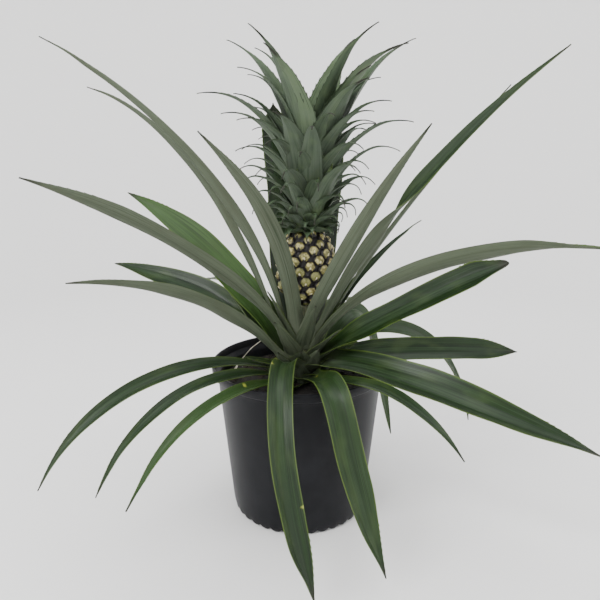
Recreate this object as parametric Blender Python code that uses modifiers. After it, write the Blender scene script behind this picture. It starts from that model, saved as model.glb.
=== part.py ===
"""A fruiting pineapple plant in its nursery pot. Metres, +Z up; the origin is on the
pot's axis, on the surface that the pot stands on. The front of the plant faces -Y."""

import math
from typing import NamedTuple

import bmesh
import bpy
from mathutils import Matrix, Vector

MM = 0.001
CLEARANCE = 0.0003  # between pieces that touch

# Pot
POT_HEIGHT = 0.144
POT_RIM_RADIUS = 0.0825
POT_FOOT_RADIUS = 0.064
POT_NECK_RADIUS = 0.0765
POT_WALL = 0.0018
POT_LIP_HEIGHT = 0.008
POT_LIP_STEP = 0.0035
POT_BASE = 0.003
POT_SIDES = 72
SCALLOP_LIFT = 0.0016
SCALLOP_INSET = 0.005
DRAIN_HOLES = 6
DRAIN_RADIUS = 0.005
DRAIN_CIRCLE = 0.044

# Soil and stem
SOIL_TOP = 0.126
STEM_BOTTOM = 0.098
STEM_CONE_BOTTOM = 0.118
STEM_CONE_TOP = 0.172
STEM_LOW_RADIUS = 0.019
STEM_HIGH_RADIUS = 0.0085

# Fruit and crown, which lean a little to the right on the stalk
LEAN = math.radians(2.6)
LEAN_FOOT = Vector((0.002, 0.0, 0.150))
FRUIT_BOTTOM = 0.199
FRUIT_TOP = 0.270
FRUIT_RADIUS = 0.0245
CROWN_STEM_TOP = 0.325
CROWN_STEM_LOW_RADIUS = 0.0135
CROWN_STEM_HIGH_RADIUS = 0.0055
CROWN_LOWER_LEAVES = 14
CROWN_FIRST_HEADING = 196.0
GOLDEN_ANGLE = 137.508
# Every blade
LEAF_THICKNESS = 0.0011
LEAF_ROWS = 16
CROWN_LEAF_THICKNESS = 0.0009
CROWN_LEAF_ROWS = 10
ROLLED_BY = 0.35  # share of the length by which a blade has its full roll
FOOT_LENGTH = 0.050  # over which a blade widens to its full width
TIP_WIDTH = 0.0011
CHANNEL = 0.42  # how far the margins stand up, as a share of half the width


class Leaf(NamedTuple):
    """One blade. Angles in degrees, lengths in millimetres."""

    name: str
    heading: float  # seen from above, anticlockwise from +X
    foot: float  # height where it leaves the stem
    rise: float  # slope at the foot
    fall: float  # slope at the tip
    ease: float  # above 1, the bend comes late
    length: float
    width: float
    swing: float = 0.0  # how far the heading has turned by the tip
    roll: float = 0.0  # turn of the blade about its own midline
    bend_at: float = 9.0  # share of the length where a sharp bend sits
    taper: float = 2.2  # above 1, the blade stays broad for longer
    foot_share: float = 0.42  # of the full width, where the blade leaves the stem


ROSETTE = (
    Leaf("leaf_left_longest", 182, 160, 80, 27, 0.9, 349, 18, -8, 60, taper=1.4),
    Leaf("leaf_left_arched", 167, 156, 67, 11, 2.1, 318, 19, -8, 60, taper=1.7),
    Leaf("leaf_left_inner", 250, 169, 77, 41, 0.5, 221, 20, -49, 35, foot_share=0.32),
    Leaf("leaf_left_spreading", 211, 150, 79, 20, 0.5, 276, 21, -3, 60, taper=2.4),
    Leaf("leaf_left_broad", 160, 143, 70, 25, 0.7, 228, 25, 4, -50, taper=2.8),
    Leaf("leaf_left_hooked", 156, 138, 62, 4, 0.5, 222, 19, 0, -40),
    Leaf("leaf_left_level", 214, 142, 53, 3, 1.0, 219, 20, 2, 60),
    Leaf("leaf_left_drooping", 214, 135, 25, -63, 1.3, 248, 17, 6, -30, taper=1.7),
    Leaf("leaf_left_hanging", 230, 132, 21, -58, 1.7, 222, 14, 9, -22, taper=1.8),
    Leaf("leaf_left_low", 241, 128, 18, -43, 1.8, 222, 14, 5, -22, taper=1.8),
    Leaf("leaf_front_left", 259, 137, 36, -69, 3.0, 248, 22, 80, 0, 0.26, 4.0),
    Leaf("leaf_front_right", 284, 132, 20, -68, 9.0, 233, 23, 64, 25, 0.32, 3.4),
    Leaf("leaf_right_inner", 297, 163, 78, 44, 0.4, 243, 18, 0, -38, taper=2.0, foot_share=0.3),
    Leaf("leaf_right_longest", 341, 157, 66, 38, 1.0, 321, 22, -1, -55, taper=1.7),
    Leaf("leaf_right_twin", 23, 151, 67, 51, 0.4, 316, 16, -10, -50, taper=1.7),
    Leaf("leaf_right_short", 29, 144, 68, 27, 0.8, 178, 11, -4, 25, taper=2.0),
    Leaf("leaf_right_arched", 347, 147, 74, -5, 0.6, 294, 21, 3, -60, taper=2.6),
    Leaf("leaf_right_broad", 334, 140, 54, 27, 0.4, 199, 26, 0, 50, taper=3.2),
    Leaf("leaf_right_level", 4, 137, 29, -8, 0.4, 201, 20, 6, 55, taper=3.0),
    Leaf("leaf_right_glossy", 322, 136, 40, -23, 0.4, 257, 30, 39, 30),
    Leaf("leaf_right_under", 305, 129, 19, -38, 1.9, 189, 17, -4, 20),
    Leaf("leaf_right_trailing", 26, 134, 46, -79, 1.1, 271, 11, -6, 50, 0.9),
    Leaf("leaf_right_folded", 44, 130, 42, -76, 8.0, 240, 13, -38, 50, 0.3),
    Leaf("leaf_back_left", 110, 160, 48, 87, 0.5, 232, 27, 0, 0, taper=4.0),
    Leaf("leaf_back_right", 68, 156, 31, 88, 0.5, 233, 27, -4, 0, taper=4.0),
    Leaf("leaf_back_arched", 92, 142, 58, -20, 1.2, 245, 20, 0, 0),
    Leaf("leaf_back_low", 126, 134, 46, -35, 1.2, 225, 19, 0, 0),
    Leaf("leaf_back_hanging", 70, 130, 38, -52, 1.2, 225, 18, 0, 0),
)

# The upper crown leaves part to the left and right, and leave a gap at the front.
CROWN_UPPER = (
    Leaf("crown_leaf_15", 243, 292, 76, 20, 1.3, 98, 18, taper=1.7, foot_share=0.24),
    Leaf("crown_leaf_16", 352, 296, 72, 8, 1.2, 108, 17, taper=1.6, foot_share=0.24),
    Leaf("crown_leaf_17", 98, 299, 76, 10, 1.4, 104, 17, taper=1.6, foot_share=0.24),
    Leaf("crown_leaf_18", 187, 302, 70, 2, 1.3, 126, 17, taper=1.5, foot_share=0.24),
    Leaf("crown_leaf_19", 306, 305, 80, 24, 1.4, 110, 19, taper=1.8, foot_share=0.24),
    Leaf("crown_leaf_20", 18, 308, 75, 38, 1.2, 155, 18, taper=1.6, foot_share=0.24),
    Leaf("crown_leaf_21", 150, 311, 75, 32, 1.2, 150, 18, taper=1.6, foot_share=0.24),
    Leaf("crown_leaf_22", 336, 314, 79, 24, 1.5, 134, 20, taper=1.8, foot_share=0.24),
    Leaf("crown_leaf_23", 222, 317, 81, 42, 1.5, 112, 20, taper=1.8, foot_share=0.24),
    Leaf("crown_leaf_24", 52, 320, 82, 48, 1.5, 128, 19, taper=1.7, foot_share=0.24),
)

DRY_STRIP_FOOT = Vector((-0.066, 0.012, SOIL_TOP + CLEARANCE))
DRY_STRIP = Leaf("dry_leaf_strip", 345, 126, 55, 40, 1.0, 46, 2.4)


def clear_scene():
    for old in list(bpy.data.objects):
        bpy.data.objects.remove(old, do_unlink=True)


def new_collection(name, hidden=False):
    collection = bpy.data.collections.new(name)
    bpy.context.scene.collection.children.link(collection)
    collection.hide_render = hidden
    return collection


def plain_material(name, colour, roughness, metallic=0.0):
    material = bpy.data.materials.new(name)
    material.use_nodes = True
    shader = material.node_tree.nodes["Principled BSDF"]
    shader.inputs["Base Color"].default_value = (*colour, 1.0)
    shader.inputs["Roughness"].default_value = roughness
    shader.inputs["Metallic"].default_value = metallic
    material.diffuse_color = (*colour, 1.0)
    return material


def add_object(name, mesh, collection, material):
    thing = bpy.data.objects.new(name, mesh)
    collection.objects.link(thing)
    mesh.materials.append(material)
    return thing


def shade_round(mesh, sharp_above=40.0):
    mesh.shade_smooth()
    mesh.set_sharp_from_angle(angle=math.radians(sharp_above))


def turned(name, profile, steps, collection, material):
    """A solid turned round Z from (radius, height) points, listed down its outer side."""
    mesh = bpy.data.meshes.new(name)
    points = [(radius, 0.0, height) for radius, height in profile]
    mesh.from_pydata(points, [(i, i + 1) for i in range(len(points) - 1)], [])
    thing = add_object(name, mesh, collection, material)
    screw = thing.modifiers.new("turn", "SCREW")
    screw.steps = steps
    screw.render_steps = steps
    screw.use_merge_vertices = True
    screw.merge_threshold = 0.0001
    screw.use_smooth_shade = True
    return thing


def apply_modifiers(thing):
    """Replaces the object's mesh with the one its modifiers make."""
    graph = bpy.context.evaluated_depsgraph_get()
    graph.update()
    made = bpy.data.meshes.new_from_object(thing.evaluated_get(graph))
    thing.modifiers.clear()
    thing.data = made
    return thing


def leaning(thing):
    """Leans an object that was modelled on the pot's axis."""
    upright = Matrix.Translation((0.0, 0.0, -LEAN_FOOT.z))
    thing.matrix_world = Matrix.Translation(LEAN_FOOT) @ Matrix.Rotation(LEAN, 4, "Y") @ upright
    return thing


def pot_wall_radius(height):
    """The pot's outer radius below the lip."""
    share = height / (POT_HEIGHT - POT_LIP_HEIGHT)
    return POT_FOOT_RADIUS + (POT_NECK_RADIUS - POT_FOOT_RADIUS) * share


def stem_radius(height):
    share = (height - STEM_CONE_BOTTOM) / (STEM_CONE_TOP - STEM_CONE_BOTTOM)
    share = min(max(share, 0.0), 1.0)
    return STEM_LOW_RADIUS + (STEM_HIGH_RADIUS - STEM_LOW_RADIUS) * share


def crown_stem_radius(height):
    share = (height - FRUIT_TOP) / (CROWN_STEM_TOP - FRUIT_TOP)
    return CROWN_STEM_LOW_RADIUS + (CROWN_STEM_HIGH_RADIUS - CROWN_STEM_LOW_RADIUS) * share


def make_pot(parts, cutters):
    lip_bottom = POT_HEIGHT - POT_LIP_HEIGHT
    neck = POT_NECK_RADIUS
    profile = (
        (0.0, POT_BASE),
        (POT_FOOT_RADIUS - POT_WALL, POT_BASE),
        (neck - POT_WALL, lip_bottom - 0.002),
        (POT_RIM_RADIUS - POT_WALL - 0.0015, lip_bottom + 0.002),
        (POT_RIM_RADIUS - POT_WALL - 0.0005, POT_HEIGHT - 0.0005),
        (POT_RIM_RADIUS - 0.0012, POT_HEIGHT),
        (POT_RIM_RADIUS, POT_HEIGHT - 0.0008),
        (POT_RIM_RADIUS - 0.0008, lip_bottom + 0.0006),
        (POT_RIM_RADIUS - POT_LIP_STEP, lip_bottom - 0.0004),
        (neck, lip_bottom - 0.005),
        (POT_FOOT_RADIUS + 0.0006, 0.008),
        (POT_FOOT_RADIUS, 0.0),
        (POT_FOOT_RADIUS - SCALLOP_INSET, 0.0),
        (0.0, 0.0),
    )
    black = plain_material("pot_plastic", (0.022, 0.023, 0.026), 0.42)
    pot = turned("pot", profile, POT_SIDES, parts, black)
    apply_modifiers(pot)
    scallop_foot(pot.data)
    shade_round(pot.data)
    drill_drain_holes(pot, cutters)


def scallop_foot(mesh):
    """Lifts every second corner of the foot edge, so that the pot stands on small scallops."""
    for vertex in mesh.vertices:
        radius = math.hypot(vertex.co.x, vertex.co.y)
        if abs(radius - POT_FOOT_RADIUS) > 0.0001 or vertex.co.z > 0.0001:
            continue
        angle = math.atan2(vertex.co.y, vertex.co.x)
        if round(angle / math.tau * POT_SIDES) % 2:
            vertex.co.z += SCALLOP_LIFT


def drill_drain_holes(pot, cutters):
    for i in range(DRAIN_HOLES):
        angle = math.tau * (i + 0.5) / DRAIN_HOLES
        bpy.ops.mesh.primitive_cylinder_add(
            vertices=16,
            radius=DRAIN_RADIUS,
            depth=4 * POT_BASE,
            location=(DRAIN_CIRCLE * math.cos(angle), DRAIN_CIRCLE * math.sin(angle), 0.0),
        )
        cutter = bpy.context.object
        cutter.name = f"drain_cutter_{i + 1}"
        cutter.hide_render = True
        cutter.display_type = "WIRE"
        for home in list(cutter.users_collection):
            home.objects.unlink(cutter)
        cutters.objects.link(cutter)
        cut = pot.modifiers.new(f"drain_{i + 1}", "BOOLEAN")
        cut.operation = "DIFFERENCE"
        cut.solver = "EXACT"
        cut.object = cutter


def make_soil(parts):
    """Potting mix up to a little below the lip, with a socket round the buried stem."""
    wall = POT_WALL + 2 * CLEARANCE
    socket = STEM_LOW_RADIUS + CLEARANCE
    profile = (
        (0.0, STEM_BOTTOM - CLEARANCE),
        (socket, STEM_BOTTOM - CLEARANCE),
        (socket, SOIL_TOP + 0.0015),
        (0.030, SOIL_TOP + 0.0005),
        (0.060, SOIL_TOP - 0.0005),
        (pot_wall_radius(SOIL_TOP) - wall - 0.0015, SOIL_TOP),
        (pot_wall_radius(SOIL_TOP) - wall, SOIL_TOP - 0.002),
        (POT_FOOT_RADIUS - wall, POT_BASE + CLEARANCE),
        (0.0, POT_BASE + CLEARANCE),
    )
    mix = plain_material("potting_mix", (0.018, 0.014, 0.011), 0.95)
    soil = turned("soil", profile, 48, parts, mix)
    shade_round(apply_modifiers(soil).data)


def make_stem(parts):
    """The buried foot, the cone that the leaf bases clasp, and the fruit stalk, grown as one."""
    curve = bpy.data.curves.new("stem", "CURVE")
    curve.dimensions = "3D"
    curve.bevel_depth = 1.0
    curve.bevel_resolution = 6
    curve.use_fill_caps = True
    lean = math.tan(LEAN)
    stations = (
        (STEM_BOTTOM, STEM_LOW_RADIUS - 0.001),
        (STEM_CONE_BOTTOM, STEM_LOW_RADIUS - CLEARANCE),
        (STEM_CONE_TOP, STEM_HIGH_RADIUS),
        (FRUIT_BOTTOM - CLEARANCE, STEM_HIGH_RADIUS),
    )
    spline = curve.splines.new("POLY")
    spline.points.add(len(stations) - 1)
    for point, (height, radius) in zip(spline.points, stations):
        side = LEAN_FOOT.x + lean * (height - LEAN_FOOT.z) if height > STEM_CONE_TOP else 0.0
        point.co = (side, 0.0, height, 1.0)
        point.radius = radius
    green = plain_material("stem_green", (0.10, 0.14, 0.06), 0.6)
    curve.materials.append(green)
    stem = bpy.data.objects.new("stem", curve)
    parts.objects.link(stem)


def make_fruit(parts):
    """A small barrel, fullest just below its middle."""
    rows = 12
    height = FRUIT_TOP - FRUIT_BOTTOM
    profile = []
    for i in range(rows + 1):
        share = i / rows
        z = FRUIT_TOP - height * share
        bulge = (1 - abs(2 * share - 1) ** 2.8) ** 0.5
        profile.append((FRUIT_RADIUS * bulge * (1.02 - 0.08 * abs(share - 0.55)), z))
    profile[0] = (0.0, FRUIT_TOP)
    profile[-1] = (0.0, FRUIT_BOTTOM)
    gold = plain_material("fruit_skin", (0.42, 0.33, 0.10), 0.5)
    fruit = turned("fruit", profile, 28, parts, gold)
    shade_round(apply_modifiers(fruit).data, 60.0)
    leaning(fruit)


def make_crown_stem(parts):
    bpy.ops.mesh.primitive_cone_add(
        vertices=20,
        radius1=CROWN_STEM_LOW_RADIUS,
        radius2=CROWN_STEM_HIGH_RADIUS,
        depth=CROWN_STEM_TOP - FRUIT_TOP - CLEARANCE,
        location=(0.0, 0.0, (CROWN_STEM_TOP + FRUIT_TOP + CLEARANCE) / 2),
    )
    core = bpy.context.object
    core.name = "crown_stem"
    core.data.name = "crown_stem"
    core.data.transform(core.matrix_world)
    core.matrix_world = Matrix.Identity(4)
    core.data.materials.append(plain_material("crown_heart", (0.16, 0.24, 0.08), 0.6))
    for home in list(core.users_collection):
        home.objects.unlink(core)
    parts.objects.link(core)
    leaning(core)


def bend_share(leaf, s):
    """How much of the bend from rise to fall is done at the share s of the length."""
    late = leaf.bend_at ** leaf.ease
    return s ** leaf.ease / (s ** leaf.ease + late) * (1 + late)


def midline(leaf, foot, rows):
    """Stations (place, tangent, side, upper) from the foot to the tip."""
    step = leaf.length * MM / rows
    place = foot.copy()
    stations = []
    for i in range(rows + 1):
        s = i / rows
        slope = math.radians(leaf.rise + (leaf.fall - leaf.rise) * bend_share(leaf, s))
        heading = math.radians(leaf.heading + leaf.swing * s * s)
        outward = Vector((math.cos(heading), math.sin(heading), 0.0))
        along = outward * math.cos(slope) + Vector((0.0, 0.0, math.sin(slope)))
        side = Vector((math.sin(heading), -math.cos(heading), 0.0))
        turn = Matrix.Rotation(math.radians(leaf.roll) * min(1.0, s / ROLLED_BY), 3, along)
        side = turn @ side
        stations.append((place.copy(), along, side, side.cross(along)))
        place += along * step
    return stations


def spread(leaf, s):
    """Narrow at the foot, so that the bases fit round the stem, and full by FOOT_LENGTH."""
    widened = math.sin(min(1.0, s * leaf.length * MM / FOOT_LENGTH) * math.pi / 2)
    return leaf.foot_share + (1 - leaf.foot_share) * widened


def half_width(leaf, s):
    """Half the width at the share s of the length, down to a fine tip."""
    return max(TIP_WIDTH, leaf.width * MM * spread(leaf, s) * (1 - s ** leaf.taper)) / 2


def make_leaf(leaf, foot, rows, thickness, parts, material):
    """A blade: a grid two faces wide, laid along the midline with raised margins, then thickened."""
    mesh = bpy.data.meshes.new(leaf.name)
    grid = bmesh.new()
    bmesh.ops.create_grid(grid, x_segments=2, y_segments=rows, size=0.5)
    stations = midline(leaf, foot, rows)
    for vertex in grid.verts:
        row = round((vertex.co.y + 0.5) * rows)
        across = 2 * vertex.co.x
        place, _, side, upper = stations[row]
        half = half_width(leaf, row / rows)
        lift = CHANNEL * spread(leaf, row / rows) * half * across * across
        vertex.co = place + side * across * half + upper * lift
    grid.to_mesh(mesh)
    grid.free()
    mesh.shade_smooth()
    blade = add_object(leaf.name, mesh, parts, material)
    solid = blade.modifiers.new("thickness", "SOLIDIFY")
    solid.thickness = thickness
    solid.offset = 0.0
    return blade


def foot_on_stem(leaf, radius):
    """Where a blade starts, clear of a stem of this radius."""
    heading = math.radians(leaf.heading)
    out = radius + LEAF_THICKNESS / 2 + 2 * CLEARANCE
    return Vector((out * math.cos(heading), out * math.sin(heading), leaf.foot * MM))


def make_rosette(parts):
    green = plain_material("leaf_green", (0.060, 0.105, 0.048), 0.45)
    for leaf in ROSETTE:
        foot = foot_on_stem(leaf, stem_radius(leaf.foot * MM))
        make_leaf(leaf, foot, LEAF_ROWS, LEAF_THICKNESS, parts, green)


def crown_leaves():
    """Below, a golden-angle spiral of short curled leaves, and above them the long ones."""
    for i in range(CROWN_LOWER_LEAVES):
        share = i / (CROWN_LOWER_LEAVES + len(CROWN_UPPER) - 1)
        yield Leaf(
            f"crown_leaf_{i + 1:02d}",
            heading=(CROWN_FIRST_HEADING + i * GOLDEN_ANGLE) % 360,
            foot=272 + 36 * share,
            rise=50 + 34 * share ** 0.7,
            fall=-45 + 64 * share ** 0.6,
            ease=1.7,
            length=47 + 92 * share ** 0.75,
            width=12 + 8 * share ** 0.6,
            taper=1.6,
            foot_share=0.24,
        )
    yield from CROWN_UPPER


def make_crown(parts):
    green = plain_material("crown_green", (0.070, 0.125, 0.060), 0.5)
    for leaf in crown_leaves():
        foot = foot_on_stem(leaf, crown_stem_radius(leaf.foot * MM))
        leaning(make_leaf(leaf, foot, CROWN_LEAF_ROWS, CROWN_LEAF_THICKNESS, parts, green))


def make_dry_strip(parts):
    straw = plain_material("dry_straw", (0.50, 0.46, 0.36), 0.8)
    make_leaf(DRY_STRIP, DRY_STRIP_FOOT, 4, CROWN_LEAF_THICKNESS, parts, straw)


def main():
    clear_scene()
    parts = new_collection("potted_pineapple_plant")
    cutters = new_collection("cutters", hidden=True)
    make_pot(parts, cutters)
    make_soil(parts)
    make_stem(parts)
    make_fruit(parts)
    make_crown_stem(parts)
    make_rosette(parts)
    make_crown(parts)
    make_dry_strip(parts)


main()
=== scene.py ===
# A fruiting pineapple plant in its nursery pot: the looks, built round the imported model.
import math
import random

import bmesh
import bpy
from mathutils import Matrix, Vector, noise


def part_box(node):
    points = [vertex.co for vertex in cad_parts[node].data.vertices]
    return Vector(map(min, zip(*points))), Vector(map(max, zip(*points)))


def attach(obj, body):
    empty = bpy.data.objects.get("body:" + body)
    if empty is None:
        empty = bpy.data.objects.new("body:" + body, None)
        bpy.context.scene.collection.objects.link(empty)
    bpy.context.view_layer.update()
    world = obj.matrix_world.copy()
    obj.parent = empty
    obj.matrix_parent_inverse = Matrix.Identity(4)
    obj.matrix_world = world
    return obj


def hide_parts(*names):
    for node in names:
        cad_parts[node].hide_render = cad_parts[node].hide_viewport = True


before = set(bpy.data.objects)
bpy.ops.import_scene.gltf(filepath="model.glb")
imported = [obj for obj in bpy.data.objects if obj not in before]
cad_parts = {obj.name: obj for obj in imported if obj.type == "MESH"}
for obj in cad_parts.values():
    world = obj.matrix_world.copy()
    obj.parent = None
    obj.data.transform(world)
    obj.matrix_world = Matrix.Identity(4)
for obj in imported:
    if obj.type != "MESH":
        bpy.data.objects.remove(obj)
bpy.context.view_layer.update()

mm = 0.001
up = Vector((0, 0, 1))
draw = random.Random(11)
goldenTurn = math.pi * (3 - math.sqrt(5))  # radians between one leaf or eye and the next


# helpers that work on one object at a time
def deselectAll():
    if bpy.context.mode != "OBJECT":
        bpy.ops.object.mode_set(mode="OBJECT")
    bpy.ops.object.select_all(action="DESELECT")


def makeActive(thing):
    deselectAll()
    thing.select_set(True)
    bpy.context.view_layer.objects.active = thing


def startEditing(thing, mode):
    makeActive(thing)
    bpy.ops.object.mode_set(mode="EDIT")
    bpy.ops.mesh.select_mode(type=mode)
    bpy.ops.mesh.select_all(action="DESELECT")


def pickEdges(thing, test):
    # selects the edges whose two ends pass the test together
    bpy.ops.object.mode_set(mode="OBJECT")
    points = thing.data.vertices
    for edge in thing.data.edges:
        edge.select = test(*(points[i].co for i in edge.vertices))
    bpy.ops.object.mode_set(mode="EDIT")


def applyModifier(thing, kind, **settings):
    makeActive(thing)
    modifier = thing.modifiers.new(kind.lower(), kind)
    for key, value in settings.items():
        setattr(modifier, key, value)
    bpy.ops.object.modifier_apply(modifier=modifier.name)


def joinInto(things, name):
    makeActive(things[0])
    for thing in things:
        thing.select_set(True)
    bpy.ops.object.join()
    things[0].name = name
    things[0].data.name = name
    return things[0]


def copyOf(thing, name):
    double = thing.copy()
    double.data = thing.data.copy()
    double.name = name
    bpy.context.scene.collection.objects.link(double)
    return double


def smooth(thing, angle):
    makeActive(thing)
    bpy.ops.object.shade_smooth_by_angle(angle=math.radians(angle))


def paintPoints(thing, name, values):
    # writes one number for each point, for the materials to read
    attribute = thing.data.attributes.new(name, "FLOAT", "POINT")
    attribute.data.foreach_set("value", values)


def nameNew(name):
    thing = bpy.context.object
    thing.name = name
    thing.data.name = name
    return thing


def pullRings(thing, profile, closed):
    # a ring is extruded from one (radius, height) of the profile to the next
    startEditing(thing, "EDGE")
    bpy.ops.mesh.select_all(action="SELECT")
    bpy.ops.mesh.edge_face_add()
    for (oldRadius, oldHeight), (radius, height) in zip(profile, profile[1:]):
        bpy.ops.mesh.extrude_edges_move(TRANSFORM_OT_translate={"value": (0, 0, height - oldHeight)})
        ratio = radius / oldRadius
        bpy.ops.transform.resize(value=(ratio, ratio, 1), center_override=(0, 0, height))
    if closed:
        bpy.ops.mesh.edge_face_add()
    bpy.ops.mesh.select_all(action="SELECT")
    bpy.ops.mesh.normals_make_consistent(inside=False)
    bpy.ops.object.mode_set(mode="OBJECT")


def turned(name, sides, profile, closed=True):
    # a circle at the first point of the profile, pulled through the others
    deselectAll()
    bpy.ops.mesh.primitive_circle_add(vertices=sides, radius=profile[0][0], location=(0, 0, profile[0][1]))
    thing = nameNew(name)
    bpy.ops.object.transform_apply(location=True, rotation=True, scale=True)
    pullRings(thing, profile, closed)
    return thing


def between(low, high, share):
    return low + (high - low) * share


def eased(low, high, value):
    share = min(max((value - low) / (high - low), 0.0), 1.0)
    return share * share * (3 - 2 * share)


def around(heading, out, height):
    return Vector((out * math.cos(heading), out * math.sin(heading), height))


def dress(thing, slot, *finishes):
    # a finished piece gets its materials and its body
    for finish in finishes:
        thing.data.materials.append(finish.material)
    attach(thing, "root")


# materials are written as expressions on these two
class Signal:
    def __init__(self, finish, socket):
        self.finish = finish
        self.socket = socket

    def maths(self, operation, first, second):
        return self.finish.add("ShaderNodeMath", {"operation": operation}, {0: first, 1: second})

    def __add__(self, other):
        return self.maths("ADD", self, other)

    def __sub__(self, other):
        return self.maths("SUBTRACT", self, other)

    def __mul__(self, other):
        return self.maths("MULTIPLY", self, other)

    def __rsub__(self, other):
        return self.maths("SUBTRACT", other, self)

    __radd__ = __add__
    __rmul__ = __mul__

    def distance(self):
        return self.finish.add("ShaderNodeMath", {"operation": "ABSOLUTE"}, {0: self})

    def stretch(self, low, high):
        # 0 at low, 1 at high, eased between them
        sockets = {"Value": self, "From Min": low, "From Max": high}
        return self.finish.add("ShaderNodeMapRange", {"interpolation_type": "SMOOTHSTEP"}, sockets)


class Finish:
    def __init__(self, name, roughness=0.5, **constants):
        self.material = bpy.data.materials.new(name)
        self.material.use_nodes = True
        self.nodes = self.material.node_tree.nodes
        self.shader = self.nodes["Principled BSDF"]
        self.shader.inputs["Roughness"].default_value = roughness
        for key, value in constants.items():
            self.shader.inputs[key.replace("_", " ")].default_value = value

    def feed(self, socket, value):
        if isinstance(value, Signal):
            self.material.node_tree.links.new(value.socket, socket)
        elif isinstance(value, tuple) and len(value) == 3 and socket.type == "RGBA":
            socket.default_value = (*value, 1.0)
        else:
            socket.default_value = value

    def add(self, kind, settings, sockets, out=0):
        node = self.nodes.new(kind)
        for key, value in settings.items():
            setattr(node, key, value)
        for key, value in sockets.items():
            self.feed(node.inputs[key], value)
        return Signal(self, node.outputs[out])

    def attribute(self, name):
        return self.add("ShaderNodeAttribute", {"attribute_name": name}, {}, "Fac")

    def place(self):
        return self.add("ShaderNodeTexCoord", {}, {}, "Object")

    def bladeAxes(self):
        uv = self.add("ShaderNodeUVMap", {"uv_map": "UVMap"}, {})
        return [self.add("ShaderNodeSeparateXYZ", {}, {0: uv}, axis) for axis in ("X", "Y")]

    def vector(self, x, y, z=0.0):
        return self.add("ShaderNodeCombineXYZ", {}, {0: x, 1: y, 2: z})

    def grain(self, coords, scale, detail=3.0, roughness=0.5):
        sockets = {"Vector": coords, "Scale": scale, "Detail": detail, "Roughness": roughness}
        return self.add("ShaderNodeTexNoise", {}, sockets)

    def mix(self, first, second, share):
        # sockets 0, 6 and 7 of a Mix node on colours are its factor, A and B, and output 2 is the colour
        return self.add("ShaderNodeMix", {"data_type": "RGBA"}, {0: share, 6: first, 7: second}, 2)

    def colour(self, value):
        self.feed(self.shader.inputs["Base Color"], value)

    def rough(self, value):
        self.feed(self.shader.inputs["Roughness"], value)

    def bump(self, height, strength, depth):
        sockets = {"Height": height, "Strength": strength, "Distance": depth}
        self.feed(self.shader.inputs["Normal"], self.add("ShaderNodeBump", {}, sockets))


# camera, floor and light
viewValues = {
    "place": (0.0005, -0.5105, 0.3326),
    "tilt": 0.25,  # radians below level
    "lens": 34.3,
    "stageColour": (0.86, 0.855, 0.845),
    "skyColour": (0.93, 0.95, 1.0),
    "skyStrength": 0.62,
    "stageRadius": 1.75,
    "stageSides": 128,
    "floorDrop": 0.4 * mm,
    "wallHeight": 1.5,
    "wallCurve": 0.70,
    "curveSteps": 12,
}
lamps = {
    # name: place, aimed at, side, watts
    "window": ((-1.0, -1.0, 1.5), (0, 0, 0.25), 0.9, 34),
    "ceiling": ((0.25, 0.1, 1.9), (0, 0, 0.2), 1.6, 28),
    "side": ((1.3, -0.3, 0.9), (0, 0, 0.3), 0.8, 5),
}


def aim(thing, target):
    thing.rotation_euler = (Vector(target) - thing.location).to_track_quat("-Z", "Y").to_euler()


def makeSweep():
    # a round floor that turns up into a low wall on every side
    curve = viewValues["wallCurve"]
    inner = viewValues["stageRadius"] - curve
    drop = viewValues["floorDrop"]
    steps = viewValues["curveSteps"]
    profile = [(0.02, -drop), (inner, -drop)]
    for i in range(1, steps + 1):
        turn = math.pi / 2 * i / steps
        profile.append((inner + curve * math.sin(turn), curve * (1 - math.cos(turn)) - drop))
    profile.append((inner + curve, viewValues["wallHeight"]))
    floor = turned("floor", viewValues["stageSides"], profile, closed=False)
    bpy.ops.object.shade_smooth()
    paint = Finish("stagePaint", 0.75)
    paint.colour(viewValues["stageColour"])
    floor.data.materials.append(paint.material)


def setStage():
    camera = bpy.data.objects.new("camera", bpy.data.cameras.new("camera"))
    bpy.context.scene.collection.objects.link(camera)
    camera.location = viewValues["place"]
    camera.rotation_euler = (math.pi / 2 - viewValues["tilt"], 0, 0)
    camera.data.lens = viewValues["lens"]
    camera.data.sensor_width = 36
    camera.data.clip_start = 0.02
    bpy.context.scene.camera = camera
    makeSweep()
    for name, (place, target, side, watts) in lamps.items():
        lamp = bpy.data.lights.new(name, "AREA")
        lamp.size = side
        lamp.energy = watts
        holder = bpy.data.objects.new(name, lamp)
        bpy.context.scene.collection.objects.link(holder)
        holder.location = place
        aim(holder, target)
    world = bpy.data.worlds.new("studio")
    world.use_nodes = True
    sky = world.node_tree.nodes["Background"]
    sky.inputs[0].default_value = (*viewValues["skyColour"], 1)
    sky.inputs[1].default_value = viewValues["skyStrength"]
    bpy.context.scene.world = world


setStage()
print("stage set")


# the nursery pot
potValues = {
    "sides": 144,
    "wall": 1.8 * mm,
    "lipHeight": 8 * mm,
    "grooveDepth": 1.6 * mm,
    "scallops": 36,
    "scallopDepth": 2.0 * mm,
    "scallopHeight": 6 * mm,
    "scallopBand": 7.5 * mm,  # how far in from the foot's edge they reach
    "scallopPinch": 0.012,
    "footRadius": 64 * mm,
    "neckRadius": 76.5 * mm,
    "drainRadius": 5 * mm,
    "drainCircle": 44 * mm,
    "drains": 6,
}


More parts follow.
